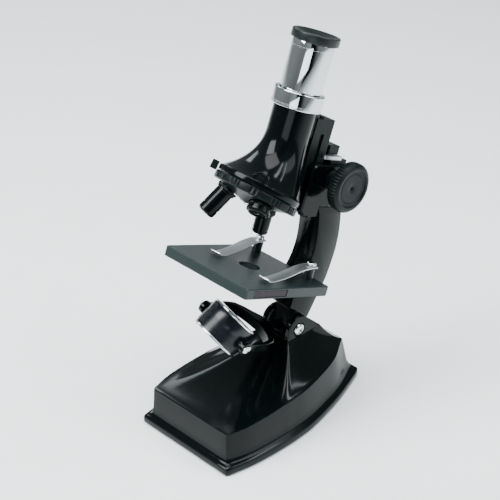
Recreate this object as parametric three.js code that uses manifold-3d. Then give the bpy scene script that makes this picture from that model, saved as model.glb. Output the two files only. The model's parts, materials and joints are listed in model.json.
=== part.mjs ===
// A child's upright microscope: a flared base, an inclining arm, a rack-and-pinion focus, a three-place turret,
// a stage with two clips and a swivelling drum with a lamp on one face and a mirror on the other.
// Millimetres, +Z up. The origin is on the table under the middle of the base. -Y is the front, +X its right.
import * as THREE from "three";
import { mergeVertices } from "three/addons/utils/BufferGeometryUtils.js";
import Module from "manifold-3d";

const wasm = await Module();
wasm.setup();

// ---- Driving dimensions -------------------------------------------------------------------------------------

const GAP = 0.3; // between pieces that rest on each other
const FIT = 0.06; // radial clearance of a shaft in its bore
const ROUND = 32; // sides of a large cylinder
const SMALL = 16; // sides of a small cylinder

const BASE = {
  halfLength: 73.3,
  frontHalf: 41.8,
  widestHalf: 46.4,
  backHalf: 21.5,
  rimBottom: 0.8,
  lip: 6.2,
  ledge: 8.2,
  wallInset: 5,
  wallFrontTop: 28.3,
  wallBackTop: 34,
  wallBackLean: 6,
  skin: 2.6,
};
const PEDESTAL = { front: 10.4, back: 42, half: 13, top: 53, frontCurve: 2.1, sideCurve: 1.25 };
const PIVOT = { y: 21.4, z: 58, boltR: 3, earR: 10.2, slotHalf: 10.4, slotR: 15.8 };
const TILT = THREE.MathUtils.degToRad(21.9); // lean of the arm
const ARM_HALF = 9.4;
const AXIS_Y = -53.6; // optical axis, in the arm's frame
const STAGE = { half: 38, front: -94.8, back: -15.1, top: 42.5, thick: 7, holeR: 7.2 };
const PINION = { y: -12.8, z: 107.7, teeth: 13, module: 0.8, shaftR: 2.5, gearHalf: 4.5 };
const PITCH_R = (PINION.teeth * PINION.module) / 2;
const KNOB = { r: 17, inner: 23.5, outer: 32, hubR: 7 };
const HEAD = { half: 12.5, front: -33.5, back: 9, bottom: 81, top: 117 };
const SLIDE = { half: 7, front: -36.6, back: -19.2, bottom: 90, top: 146 };
const TUBE = { r: 14.2, bore: 11.6, bottom: 134, top: 151 };
const COLLAR = { r: 16.6, bottom: 151.3, top: 162 };
const EYEPIECE = { r: 14, bottom: 162.3, top: 194, spigotR: TUBE.bore - FIT, spigotBottom: 138 };
const CAP = { r: 15.8, bottom: 194.3, top: 199.8 };
const TURRET = { y: -68.2, z: 92.7, lean: THREE.MathUtils.degToRad(17.5), r: 28.8, thick: 5.6, reach: 15.3 };
const FLANGE = { bottom: 3.1, top: 7.1, r: 28.4 };
const DRUM = { y: -60.5, z: -1, r: 17.5, length: 21 };
const DRUM_ROLL = THREE.MathUtils.degToRad(15); // swivel of the fork about its stem
const DRUM_TILT = THREE.MathUtils.degToRad(-29); // tilt of the drum between the fork's arms
const FORK = { arm: 20.2, thick: 3, pinR: 1.6, stemR: 3.2 };

// ---- Materials ----------------------------------------------------------------------------------------------

const finish = (color, roughness, metalness = 0) => () =>
  new THREE.MeshStandardMaterial({ color, roughness, metalness });
const GLOSS_BLACK = finish(0x101416, 0.16);
const SATIN_BLACK = finish(0x1c2022, 0.45);
const STAGE_GREY = finish(0x2f3a3a, 0.42);
const CHROME = finish(0xd4dbdc, 0.1, 1);
const STEEL = finish(0xb9bfc0, 0.28, 1);
const BRASS = finish(0xb08d45, 0.3, 1);
const RUBBER = finish(0x17181a, 0.85);
const PURPLE = finish(0x2c2028, 0.3);
const WHITE = finish(0xe6e6e0, 0.4);
const GLASS = () =>
  new THREE.MeshStandardMaterial({ color: 0xcfe3e6, roughness: 0.03, transparent: true, opacity: 0.4 });

// ---- Solids -------------------------------------------------------------------------------------------------

function solid(geometry, matrix = new THREE.Matrix4()) {
  const bare = geometry.clone();
  bare.deleteAttribute("normal");
  bare.deleteAttribute("uv");
  bare.applyMatrix4(matrix);
  const merged = mergeVertices(bare, 1e-4);
  return new wasm.Manifold(
    new wasm.Mesh({
      numProp: 3,
      vertProperties: merged.attributes.position.array,
      triVerts: new Uint32Array(merged.index.array),
    }),
  );
}

function geometryOf(body) {
  const mesh = body.getMesh();
  const geometry = new THREE.BufferGeometry();
  geometry.setAttribute("position", new THREE.BufferAttribute(new Float32Array(mesh.vertProperties), 3));
  geometry.setIndex(new THREE.BufferAttribute(new Uint32Array(mesh.triVerts), 1));
  geometry.computeVertexNormals();
  return geometry;
}

const join = (...bodies) => bodies.reduce((all, body) => all.add(body));
const cut = (body, ...tools) => tools.reduce((left, tool) => left.subtract(tool), body);

// A rotation that carries local Z onto the given axis.
function turnTo(axis) {
  const turns = {
    x: new THREE.Matrix4().makeRotationY(Math.PI / 2),
    y: new THREE.Matrix4().makeRotationX(-Math.PI / 2),
    z: new THREE.Matrix4(),
  };
  return turns[axis];
}

const moved = (x, y, z, turn = new THREE.Matrix4()) => new THREE.Matrix4().makeTranslation(x, y, z).multiply(turn);

// A box between two opposite corners.
function box([x0, x1], [y0, y1], [z0, z1]) {
  const geometry = new THREE.BoxGeometry(x1 - x0, y1 - y0, z1 - z0);
  return solid(geometry, moved((x0 + x1) / 2, (y0 + y1) / 2, (z0 + z1) / 2));
}

// A round bar along an axis from one coordinate to another; the other two coordinates are its centre.
function rod(axis, r, from, to, [a, b], sides = SMALL) {
  const geometry = new THREE.CylinderGeometry(r, r, to - from, sides).rotateX(Math.PI / 2);
  const middle = (from + to) / 2;
  const place = { x: [middle, a, b], y: [a, middle, b], z: [a, b, middle] }[axis];
  return solid(geometry, moved(...place, turnTo(axis)));
}

// A solid of revolution about an axis. The profile is [radius, distance along the axis] pairs.
function turned(axis, profile, [a, b] = [0, 0], sides = ROUND) {
  const points = profile.map(([r, h]) => new THREE.Vector2(r, h));
  const geometry = new THREE.LatheGeometry(points, sides).rotateX(Math.PI / 2);
  const place = { x: [0, a, b], y: [a, 0, b], z: [a, b, 0] }[axis];
  const body = solid(geometry, moved(...place, turnTo(axis)));
  return body.volume() < 0 ? solid(flipped(geometry), moved(...place, turnTo(axis))) : body;
}

function flipped(geometry) {
  const index = Array.from(geometry.index.array);
  for (let i = 0; i < index.length; i += 3) [index[i], index[i + 1]] = [index[i + 1], index[i]];
  return geometry.clone().setIndex(index);
}

// An outline in Y and Z, extruded along X from one side to the other with rounded edges.
function slab(outline, x0, x1, bevel = 0, steps = 2) {
  const points = () => outline.map(([y, z]) => new THREE.Vector2(y, z));
  const shape = outline instanceof THREE.Shape ? outline : new THREE.Shape(points());
  const geometry = new THREE.ExtrudeGeometry(shape, {
    depth: x1 - x0 - 2 * bevel,
    bevelEnabled: bevel > 0,
    bevelThickness: bevel,
    bevelSize: bevel,
    bevelOffset: -bevel,
    bevelSegments: steps,
    curveSegments: 5,
    steps: 1,
  });
  const basis = new THREE.Matrix4().makeBasis(
    new THREE.Vector3(0, 1, 0),
    new THREE.Vector3(0, 0, 1),
    new THREE.Vector3(1, 0, 0),
  );
  return solid(geometry, moved(x0 + bevel, 0, 0).multiply(basis));
}

// An outline in X and Y, extruded up from one height to another with rounded edges.
function plate(shape, z0, z1, bevel = 0, steps = 2) {
  const geometry = new THREE.ExtrudeGeometry(shape, {
    depth: z1 - z0 - 2 * bevel,
    bevelEnabled: bevel > 0,
    bevelThickness: bevel,
    bevelSize: bevel,
    bevelOffset: -bevel,
    bevelSegments: steps,
    curveSegments: 4,
    steps: 1,
  });
  return solid(geometry, moved(0, 0, z0 + bevel));
}

// A closed skin over rings that all have the same number of points, with a flat fan over each end.
function loft(rings) {
  const count = rings[0].length;
  const centre = (ring) => ring.reduce((sum, p) => sum.add(p), new THREE.Vector3()).divideScalar(count);
  const points = [centre(rings[0]), ...rings.flat(), centre(rings[rings.length - 1])];
  const last = points.length - 1;
  const at = (ring, i) => 1 + ring * count + (i % count);
  const index = [];
  for (let i = 0; i < count; i++) {
    index.push(0, at(0, i + 1), at(0, i));
    index.push(last, at(rings.length - 1, i), at(rings.length - 1, i + 1));
    for (let ring = 0; ring + 1 < rings.length; ring++) {
      index.push(at(ring, i), at(ring, i + 1), at(ring + 1, i + 1));
      index.push(at(ring, i), at(ring + 1, i + 1), at(ring + 1, i));
    }
  }
  const geometry = new THREE.BufferGeometry().setFromPoints(points).setIndex(index);
  return solid(geometry);
}

const roundedRect = (x0, x1, y0, y1, r) => {
  const shape = new THREE.Shape();
  shape.moveTo(x0 + r, y0).lineTo(x1 - r, y0);
  shape.absarc(x1 - r, y0 + r, r, -Math.PI / 2, 0).lineTo(x1, y1 - r);
  shape.absarc(x1 - r, y1 - r, r, 0, Math.PI / 2).lineTo(x0 + r, y1);
  shape.absarc(x0 + r, y1 - r, r, Math.PI / 2, Math.PI).lineTo(x0, y0 + r);
  shape.absarc(x0 + r, y0 + r, r, Math.PI, 1.5 * Math.PI);
  return shape;
};

// ---- Scene graph --------------------------------------------------------------------------------------------

const microscope = new THREE.Group();
const arm = new THREE.Group();
arm.position.set(0, PIVOT.y, PIVOT.z);
arm.rotation.x = -TILT;
const turret = new THREE.Group();
turret.position.set(0, TURRET.y, TURRET.z);
turret.rotation.x = -TURRET.lean;
const fork = new THREE.Group();
fork.position.set(0, DRUM.y, DRUM.z);
fork.rotation.y = DRUM_ROLL;
const drum = new THREE.Group();
drum.rotation.x = DRUM_TILT;
microscope.add(arm);
arm.add(turret, fork);
fork.add(drum);

function piece(group, name, body, material) {
  const mesh = new THREE.Mesh(geometryOf(body), material());
  mesh.name = name;
  group.add(mesh);
}

const eachSide = (make) => [["left", -1], ["right", 1]].forEach(([side, sign]) => make(side, sign));

// A machine screw along an axis: a domed head from headEnd to neck and a shank on to tip.
function screw(axis, headR, shankR, headEnd, neck, tip, centre) {
  const away = Math.sign(neck - headEnd);
  const head = [
    [0, headEnd],
    [headR * 0.7, headEnd + away * 0.15],
    [headR, headEnd + away * 0.7],
    [headR, neck],
    [shankR, neck],
    [shankR, tip],
    [0, tip],
  ];
  const slot = { x: [1, 0.3, headR * 1.1], y: [headR * 1.1, 1, 0.3], z: [headR * 1.1, 0.3, 1] }[axis];
  const cross = { x: [1, headR * 1.1, 0.3], y: [0.3, 1, headR * 1.1], z: [0.3, headR * 1.1, 1] }[axis];
  const [a, b] = centre;
  const middle = { x: [headEnd, a, b], y: [a, headEnd, b], z: [a, b, headEnd] }[axis];
  const spans = (half) => half.map((h, i) => [middle[i] - h * 0.72, middle[i] + h * 0.72]);
  return cut(turned(axis, head, centre, SMALL), box(...spans(slot)), box(...spans(cross)));
}

// ---- Base ---------------------------------------------------------------------------------------------------

const STEPS = { edge: 3, flank: 5, tail: 7 }; // points along each stretch of the base's outline

// Right half of the base's outline, drawn in by an inset: front edge, flank up to the crease, flank behind it, back.
function outline(inset, backLean = 0) {
  const front = -BASE.halfLength + inset;
  const back = BASE.halfLength - inset - backLean;
  const side = (x, y) => new THREE.Vector3(x - inset * 0.95, y, 0);
  const corner = side(BASE.frontHalf, front);
  const flank = new THREE.CatmullRomCurve3([
    new THREE.Vector3(corner.x, front + 1.6, 0),
    side(BASE.frontHalf + 3.4, -52),
    side(BASE.widestHalf, -34),
    side(BASE.widestHalf, -16),
  ]);
  const tail = new THREE.CatmullRomCurve3([
    side(BASE.widestHalf, -16),
    side(BASE.widestHalf - 1.6, 2),
    side(BASE.widestHalf - 6, 22),
    side(BASE.widestHalf - 12.5, 44 - backLean * 0.4),
    side(BASE.backHalf + 3, back - 5),
    side(BASE.backHalf, back),
  ]);
  const edge = [0, 0.5, 0.96].map((t) => new THREE.Vector3(corner.x * t, front, 0));
  const end = [0.6, 0.3, 0].map((t) => new THREE.Vector3((BASE.backHalf - inset * 0.95) * t, back, 0));
  return [...edge, ...flank.getPoints(STEPS.flank), ...tail.getPoints(STEPS.tail).slice(1), ...end];
}

// The pedestal's section, point for point with the outline: the crease falls on its front corners.
function pedestalSection(inset = 0) {
  const half = PEDESTAL.half - inset;
  const along = (count, from, to) => Array.from({ length: count }, (_, i) => from + ((to - from) * i) / count);
  const front = along(STEPS.edge + STEPS.flank, 0, half).map((x) => new THREE.Vector3(x, PEDESTAL.front + inset, 0));
  const side = along(STEPS.tail + 1, PEDESTAL.front + inset, PEDESTAL.back - inset).map(
    (y) => new THREE.Vector3(half, y, 0),
  );
  const back = [1, 0.5, 0].map((t) => new THREE.Vector3(half * t, PEDESTAL.back - inset, 0));
  return [...front, ...side, ...back];
}

// A full ring from a right half, at a height that may change along Y.
function ring(half, height) {
  const right = half.map((p, i) => new THREE.Vector3(p.x, p.y, height(p, i)));
  const left = right.slice(1, -1).reverse().map((p) => new THREE.Vector3(-p.x, p.y, p.z));
  return [...right, ...left];
}

function wallTop(p) {
  const share = (p.y + BASE.halfLength - BASE.wallInset) / (2 * BASE.halfLength - 2 * BASE.wallInset);
  return THREE.MathUtils.lerp(BASE.wallFrontTop, BASE.wallBackTop, THREE.MathUtils.clamp(share, 0, 1));
}

// How hollow the flare is at a point of the outline: deep in front, nearly straight from the crease backwards.
function curveAt(i) {
  const share = THREE.MathUtils.smoothstep(i / (STEPS.edge + STEPS.flank), 0.6, 1);
  return THREE.MathUtils.lerp(PEDESTAL.frontCurve, PEDESTAL.sideCurve, share);
}

// Rings of the flare between the wall's top edge and the pedestal.
function flare(inset, drop, shares) {
  const low = outline(BASE.wallInset + 0.6 + inset, BASE.wallBackLean);
  const high = pedestalSection(inset);
  return shares.map((t) => {
    const half = low.map((p, i) => p.clone().lerp(high[i], t));
    return ring(half, (p, i) => {
      const start = wallTop(p);
      return start + (PEDESTAL.top - start) * t ** curveAt(i) - drop;
    });
  });
}

function earOutline() {
  const shape = new THREE.Shape();
  const { y, z, earR } = PIVOT;
  shape.moveTo(PEDESTAL.front + 0.05, PEDESTAL.top - 8);
  shape.lineTo(PEDESTAL.front + 0.05, z - 2);
  shape.absarc(y, z, earR, Math.PI - 0.4, Math.PI / 4, true);
  shape.lineTo(PEDESTAL.back - 0.05, PEDESTAL.top);
  shape.lineTo(PEDESTAL.back - 0.05, PEDESTAL.top - 8);
  return shape;
}

const BASE_SCREWS = [[0, -56], [0, 52]];
const FEET = [[32, -61], [13, 56]].flatMap(([x, y]) => [[x, y], [-x, y]]);
const PLATE = { bottom: 1.3, top: 2.9 };

function baseShell() {
  const levels = [
    [0.7, BASE.rimBottom],
    [0, BASE.rimBottom + 1],
    [0, BASE.lip - 1.2],
    [0.7, BASE.lip],
    [2.2, BASE.lip + 0.5],
    [3.9, BASE.ledge],
    [4.6, BASE.ledge + 2],
  ];
  const foot = levels.map(([inset, z]) => ring(outline(inset), () => z));
  const wall = ring(outline(BASE.wallInset, 1.5), () => BASE.ledge + 5);
  const shares = [0, 0.06, 0.17, 0.32, 0.48, 0.65, 0.82, 1];
  const outer = loft([...foot, wall, ...flare(0, 0, shares)]);
  const hollow = loft([
    ring(outline(3.8), () => -1),
    ring(outline(3.8), () => PLATE.top + GAP),
    ring(outline(BASE.wallInset + 3.4), () => PLATE.top + GAP + 0.05),
    ring(outline(BASE.wallInset + 3.4, 3), () => 14),
    ...flare(3.4, BASE.skin + 0.6, [0.02, 0.2, 0.4, 0.6]),
  ]);
  const bosses = BASE_SCREWS.map(([x, y]) => rod("z", 3.4, PLATE.top + GAP, 40, [x, y]).intersect(outer));
  const ears = slab(earOutline(), -PEDESTAL.half + 0.02, PEDESTAL.half - 0.02, 1, 1);
  const slot = [
    rod("x", PIVOT.slotR, -PIVOT.slotHalf, PIVOT.slotHalf, [PIVOT.y, PIVOT.z], ROUND),
    box([-PIVOT.slotHalf, PIVOT.slotHalf], [PIVOT.y, PIVOT.y + 30], [PIVOT.z - 4, PIVOT.z + 20]),
  ];
  const bores = [
    rod("x", PIVOT.boltR + FIT, -20, 20, [PIVOT.y, PIVOT.z]),
    rod("x", 5.4, PEDESTAL.half - 1.2, PEDESTAL.half + 3, [PIVOT.y, PIVOT.z]),
  ];
  const threads = BASE_SCREWS.map(([x, y]) => rod("z", 1.7, 0, 16, [x, y], 12));
  return cut(join(cut(outer, hollow), ...bosses, ears), ...slot, ...bores, ...threads);
}

function basePlate() {
  const body = loft([
    ring(outline(3.8 + GAP), () => PLATE.bottom),
    ring(outline(3.8 + GAP), () => PLATE.top),
  ]);
  const holes = BASE_SCREWS.map(([x, y]) => join(
    rod("z", 1.7, 0, 5, [x, y], 12),
    rod("z", 3.2, 0, PLATE.bottom + 0.9, [x, y], 16),
  ));
  return cut(body, ...holes);
}

piece(microscope, "base_shell", baseShell(), GLOSS_BLACK);
piece(microscope, "base_plate", basePlate(), SATIN_BLACK);
FEET.forEach(([x, y], i) => piece(microscope, `rubber_foot_${i + 1}`, turned("z", [
  [0, 0],
  [5.6, 0],
  [6, 0.4],
  [6, PLATE.bottom - GAP],
  [0, PLATE.bottom - GAP],
], [x, y], SMALL), RUBBER));
BASE_SCREWS.forEach(([x, y], i) => {
  const body = screw("z", 2.8, 1.4, PLATE.bottom + 0.05, PLATE.bottom + 0.65, 14, [x, y]);
  piece(microscope, `base_screw_${i + 1}`, body, STEEL);
});

const headEnd = PEDESTAL.half + 1.6;
piece(microscope, "pivot_bolt", join(
  screw("x", 4.4, PIVOT.boltR, headEnd, PEDESTAL.half - 0.9, 0, [PIVOT.y, PIVOT.z]),
  rod("x", PIVOT.boltR, -PEDESTAL.half - 0.6, 0.1, [PIVOT.y, PIVOT.z]),
), CHROME);
eachSide((side, sign) => {
  const from = sign > 0 ? ARM_HALF + 0.2 : -ARM_HALF - 0.8;
  piece(microscope, `friction_washer_${side}`, cut(
    rod("x", 7, from, from + 0.6, [PIVOT.y, PIVOT.z]),
    rod("x", PIVOT.boltR + FIT, from - 1, from + 2, [PIVOT.y, PIVOT.z]),
  ), STEEL);
});

// ---- Arm ----------------------------------------------------------------------------------------------------

function armOutline() {
  const shape = new THREE.Shape();
  shape.moveTo(-7.6, -5.6);
  shape.absarc(0, 0, 9.4, Math.PI + 0.63, 0.3, false);
  shape.lineTo(11, 10);
  shape.splineThru([[14.4, 23.2], [17.6, 36], [18.7, 50], [18.6, 60], [16.8, 71], [13.2, 83]].map(
    ([y, z]) => new THREE.Vector2(y, z),
  ));
  shape.lineTo(HEAD.back, 88);
  shape.lineTo(-14, 88);
  shape.lineTo(-10.2, 82);
  shape.splineThru([[-6, 69], [-4, 57], [-4.8, 46], [-7.4, 37.5]].map(([y, z]) => new THREE.Vector2(y, z)));
  shape.lineTo(-11.2, 35);
  shape.lineTo(-11.2, 14.4);
  shape.lineTo(-4, 11.4);
  return shape;
}

const BRACKET = { front: -44, back: -11.5, bottom: 27, top: STAGE.top - STAGE.thick - GAP, half: 8.5 };
const STAGE_SCREWS = [-30];

function armLimb() {
  const body = slab(armOutline(), -ARM_HALF, ARM_HALF, 1.6, 2);
  return cut(
    body,
    rod("x", PIVOT.boltR + FIT, -20, 20, [0, 0]),
    rod("y", FORK.stemR + FIT, -20, 1.5 - PIVOT.boltR * 2, [0, DRUM.z], SMALL),
    box([-BRACKET.half + 1.5, BRACKET.half - 1.5], [-20, -6], [BRACKET.bottom - GAP, BRACKET.top + GAP]),
    ...HEAD_SCREWS.map((x) => rod("z", 1.7, 82, 100, [x, 0], 12)),
    ...[-5, 5].map((x) => rod("y", 1.2, -10, 0, [x, 31], 12)),
  );
}

const GEAR_ROOM = PINION.gearHalf + 1;
const TONGUE = { depth: 1.6, low: -29.5, high: -26.5 };
const HEAD_SCREWS = [0];

// The head that caps the arm: a block with a channel for the slide and a bore for the pinion.
function headBlock() {
  const outer = new THREE.Shape();
  outer.moveTo(HEAD.front, HEAD.bottom + 4);
  outer.lineTo(HEAD.front, HEAD.top - 3);
  outer.lineTo(HEAD.front + 3, HEAD.top);
  outer.lineTo(2, HEAD.top);
  outer.absarc(2, HEAD.top - 9, 9, Math.PI / 2, 0, true);
  outer.lineTo(HEAD.back + 2, 88 + GAP);
  outer.lineTo(-16, 88 + GAP);
  outer.lineTo(-16, HEAD.bottom);
  outer.lineTo(HEAD.front + 4, HEAD.bottom);
  const clear = SLIDE.half + 0.1;
  return cut(
    slab(outer, -HEAD.half, HEAD.half, 1, 1),
    box([-clear, clear], [-60, -16.4], [60, 140]),
    rod("x", PINION.shaftR + FIT, -30, 30, [PINION.y, PINION.z]),
    rod("x", PITCH_R + 1.6, -GEAR_ROOM, GEAR_ROOM, [PINION.y, PINION.z]),
    box([-8.3, 8.3], [-13.3, 3.8], [HEAD.top - 1.2, HEAD.top + 4]),
    ...HEAD_SCREWS.map((x) => rod("z", 1.7, 80, HEAD.top, [x, 0], 12)),
    ...HEAD_SCREWS.map((x) => rod("z", 2.9, HEAD.top - 4, HEAD.top, [x, 0], 16)),
  );
}

piece(arm, "arm_limb", armLimb(), GLOSS_BLACK);
piece(arm, "focus_head", join(
  headBlock(),
  ...[-1, 1].map((sign) => {
    const edge = sign * (SLIDE.half + 0.6);
    const tip = sign * (SLIDE.half - TONGUE.depth);
    return box([Math.min(edge, tip), Math.max(edge, tip)], [TONGUE.low, TONGUE.high], [HEAD.bottom + 6, HEAD.top - 4]);
  }),
), GLOSS_BLACK);
HEAD_SCREWS.forEach((x) => {
  piece(arm, "head_screw", screw("z", 2.6, 1.4, HEAD.top - 1.5, HEAD.top - 3.7, 84, [x, 0]), STEEL);
});

const COVER = { half: 8, back: 3.5, front: -13, bottom: HEAD.top - 1.2 + GAP, top: 120 };
const KEEPER = { half: 10.5, back: -5, front: -22.5, bottom: 120 + GAP, top: 122.6 };
const clearSlide = (bottom, top) => box([-7.5, 7.5], [-60, -16.6], [bottom, top]);
piece(arm, "head_cover", box([-COVER.half, COVER.half], [COVER.front, COVER.back], [COVER.bottom, COVER.top]),
  SATIN_BLACK);
piece(arm, "slide_keeper", cut(
  plate(roundedRect(-KEEPER.half, KEEPER.half, KEEPER.front, KEEPER.back, 1.5), KEEPER.bottom, KEEPER.top),
  clearSlide(100, 140),
), STEEL);
piece(arm, "stop_block", box([-7, 7], [-16.6, -6.4], [KEEPER.top + GAP, 129]), SATIN_BLACK);

// ---- Focus drive --------------------------------------------------------------------------------------------

// A spur gear's outline: straight-sided teeth, thinned so that they run freely in the rack.
function gearOutline() {
  const shape = new THREE.Shape();
  const pitch = (2 * Math.PI) / PINION.teeth;
  const levels = [
    [PITCH_R - 0.85, 0.245],
    [PITCH_R - 0.31, 0.23],
    [PITCH_R, 0.199],
    [PITCH_R + 0.3, 0.148],
    [PITCH_R + 0.72, 0.055],
  ];
  const points = [];
  for (let tooth = 0; tooth < PINION.teeth; tooth++) {
    const middle = tooth * pitch;
    levels.forEach(([r, half]) => points.push([r, middle - half * pitch]));
    [...levels].reverse().forEach(([r, half]) => points.push([r, middle + half * pitch]));
  }
  points.forEach(([r, angle], i) => {
    const at = [-r * Math.cos(angle), r * Math.sin(angle)];
    return i ? shape.lineTo(...at) : shape.moveTo(...at);
  });
  return shape;
}

// The rack's outline: a bar with teeth towards the pinion; a gap between teeth faces the pinion's first tooth.
function rackOutline() {
  const step = Math.PI * PINION.module;
  const pitchLine = PINION.y - PITCH_R;
  const [root, tip, back] = [pitchLine - 0.95, pitchLine + 0.55, pitchLine - 2.6];
  const [rootGap, tipGap] = [0.41, 0.96];
  const shape = new THREE.Shape();
  const [bottom, top] = [RACK.bottom, RACK.top];
  shape.moveTo(back, bottom).lineTo(root, bottom);
  for (let z = PINION.z - 6 * step; z < top - step; z += step) {
    shape.lineTo(root, z + rootGap);
    shape.lineTo(tip, z + tipGap);
    shape.lineTo(tip, z + step - tipGap);
    shape.lineTo(root, z + step - rootGap);
  }
  shape.lineTo(root, top).lineTo(back, top);
  return shape;
}

const RACK = { bottom: 90.5, top: 131, half: 3.5 };

function knob(sign) {
  const ridges = 44;
  const rim = new THREE.Shape();
  for (let i = 0; i < 2 * ridges; i++) {
    const r = i % 2 ? KNOB.r : KNOB.r - 0.55;
    const at = [r * Math.cos((i * Math.PI) / ridges), r * Math.sin((i * Math.PI) / ridges)];
    if (i) rim.lineTo(...at);
    else rim.moveTo(...at);
  }
  const knurl = slab(rim, KNOB.inner + 1.2, KNOB.outer - 1.6).translate(0, PINION.y, PINION.z);
  const disc = turned("x", [
    [0, HEAD.half + 0.5],
    [KNOB.hubR, HEAD.half + 0.5],
    [KNOB.hubR, KNOB.inner],
    [KNOB.r - 1.6, KNOB.inner],
    [KNOB.r - 0.7, KNOB.inner + 1.4],
    [KNOB.r - 0.7, KNOB.outer - 1.8],
    [KNOB.r - 1.6, KNOB.outer - 0.6],
    [KNOB.r - 3, KNOB.outer],
    [KNOB.r - 4, KNOB.outer],
    [KNOB.r - 5, KNOB.outer - 0.9],
    [3.2, KNOB.outer - 0.9],
    [1.6, KNOB.outer - 1.3],
    [1.2, KNOB.outer - 2.2],
    [0, KNOB.outer - 2.2],
  ], [PINION.y, PINION.z]);
  const body = cut(join(knurl, disc), rod("x", PINION.shaftR + GAP, 0, KNOB.outer - 4, [PINION.y, PINION.z]));
  return sign > 0 ? body : body.mirror([1, 0, 0]);
}

piece(arm, "pinion_shaft", join(
  rod("x", PINION.shaftR, -KNOB.outer + 4 + GAP, KNOB.outer - 4 - GAP, [PINION.y, PINION.z]),
  slab(gearOutline(), -PINION.gearHalf, PINION.gearHalf).translate(0, PINION.y, PINION.z),
), BRASS);
eachSide((side, sign) => piece(arm, `focus_knob_${side}`, knob(sign), SATIN_BLACK));

function slideBlock() {
  const body = join(
    box([-SLIDE.half, SLIDE.half], [SLIDE.front, SLIDE.back], [SLIDE.bottom, SLIDE.top]),
    box([-SLIDE.half + 0.8, SLIDE.half - 0.8], [-44, SLIDE.front + 0.1], [TUBE.bottom - 1, SLIDE.top]),
    ...[-3.6, 3.6].map((x) => box([x - 0.9, x + 0.9], [-31, -28], [SLIDE.top - 0.1, SLIDE.top + 1.4])),
  );
  const grooves = [-1, 1].map((sign) => {
    const edge = sign * (SLIDE.half + 1);
    const floor = sign * (SLIDE.half - TONGUE.depth - 0.1);
    const span = [Math.min(edge, floor), Math.max(edge, floor)];
    return box(span, [TONGUE.low - 0.1, TONGUE.high + 0.1], [SLIDE.bottom - 1, 136]);
  });
  return cut(
    body,
    ...grooves,
    rod("z", TUBE.r + GAP, 80, 160, [0, AXIS_Y], ROUND),
    box([-RACK.half - GAP, RACK.half + GAP], [PINION.y - PITCH_R - 2.6 - GAP, -10], [80, RACK.top + GAP]),
    ...SLIDE_SCREWS.map((z) => rod("y", 1.4 + GAP, -50, -10, [0, z], 16)),
    ...SLIDE_SCREWS.map((z) => rod("y", 2.9, -22.2, -10, [0, z], 16)),
  );
}

const SLIDE_SCREWS = [139];
piece(arm, "slide_block", slideBlock(), SATIN_BLACK);
piece(arm, "focus_rack", slab(rackOutline(), -RACK.half, RACK.half), BRASS);
SLIDE_SCREWS.forEach((z) => {
  piece(arm, "slide_screw", screw("y", 2.5, 1.3, -19.6, -21.9, -40.6, [0, z]), STEEL);
});

// ---- Body tube and eyepiece ---------------------------------------------------------------------------------

// A ring of the flare between the tube and the flange over the turret: 0 at the tube, 1 at the flange.
function noseRing(t, grow = 0) {
  const spread = t ** 2.2;
  const up = new THREE.Vector3(0, Math.sin(TURRET.lean), Math.cos(TURRET.lean));
  const seat = new THREE.Vector3(0, TURRET.y, TURRET.z).addScaledVector(up, FLANGE.top);
  const start = new THREE.Vector3(0, AXIS_Y, TUBE.bottom);
  const centre = new THREE.Vector3(0, THREE.MathUtils.lerp(start.y, seat.y, spread),
    THREE.MathUtils.lerp(start.z, seat.z, t));
  const r = THREE.MathUtils.lerp(TUBE.r, FLANGE.r - 0.6, spread) + grow;
  const lean = TURRET.lean * spread;
  return Array.from({ length: ROUND }, (_, i) => {
    const a = (i / ROUND) * 2 * Math.PI;
    const across = new THREE.Vector3(0, Math.cos(lean), -Math.sin(lean)).multiplyScalar(r * Math.sin(a));
    return centre.clone().add(across).add(new THREE.Vector3(r * Math.cos(a), 0, 0));
  });
}

const inTurret = new THREE.Matrix4().makeTranslation(0, TURRET.y, TURRET.z)
  .multiply(new THREE.Matrix4().makeRotationX(-TURRET.lean));

function bodyTube() {
  const shares = [1, 0.94, 0.86, 0.76, 0.65, 0.52, 0.38, 0.2, 0];
  const flareBody = loft(shares.map((t) => noseRing(t)));
  const tube = rod("z", TUBE.r, TUBE.bottom - 0.1, TUBE.top, [0, AXIS_Y], ROUND);
  const flange = turned("z", [
    [0, FLANGE.bottom],
    [FLANGE.r - 0.6, FLANGE.bottom],
    [FLANGE.r, FLANGE.bottom + 0.6],
    [FLANGE.r, FLANGE.top - 0.7],
    [FLANGE.r - 0.7, FLANGE.top + 0.1],
    [0, FLANGE.top + 0.1],
  ]).transform(inTurret.elements);
  const spigot = rod("z", 3, -4, FLANGE.bottom + 1, [0, 0], SMALL).transform(inTurret.elements);
  const tap = rod("z", 1.7, -10, FLANGE.bottom + 4, [0, 0], 12).transform(inTurret.elements);
  return cut(
    join(flareBody, tube, flange, spigot),
    rod("z", TUBE.bore, 118, 160, [0, AXIS_Y], ROUND),
    rod("z", 5, 80, 120, [0, AXIS_Y], SMALL),
    tap,
    ...SLIDE_SCREWS.map((z) => rod("y", 1.3 + GAP, -46, -36, [0, z], 16)),
  );
}

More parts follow.
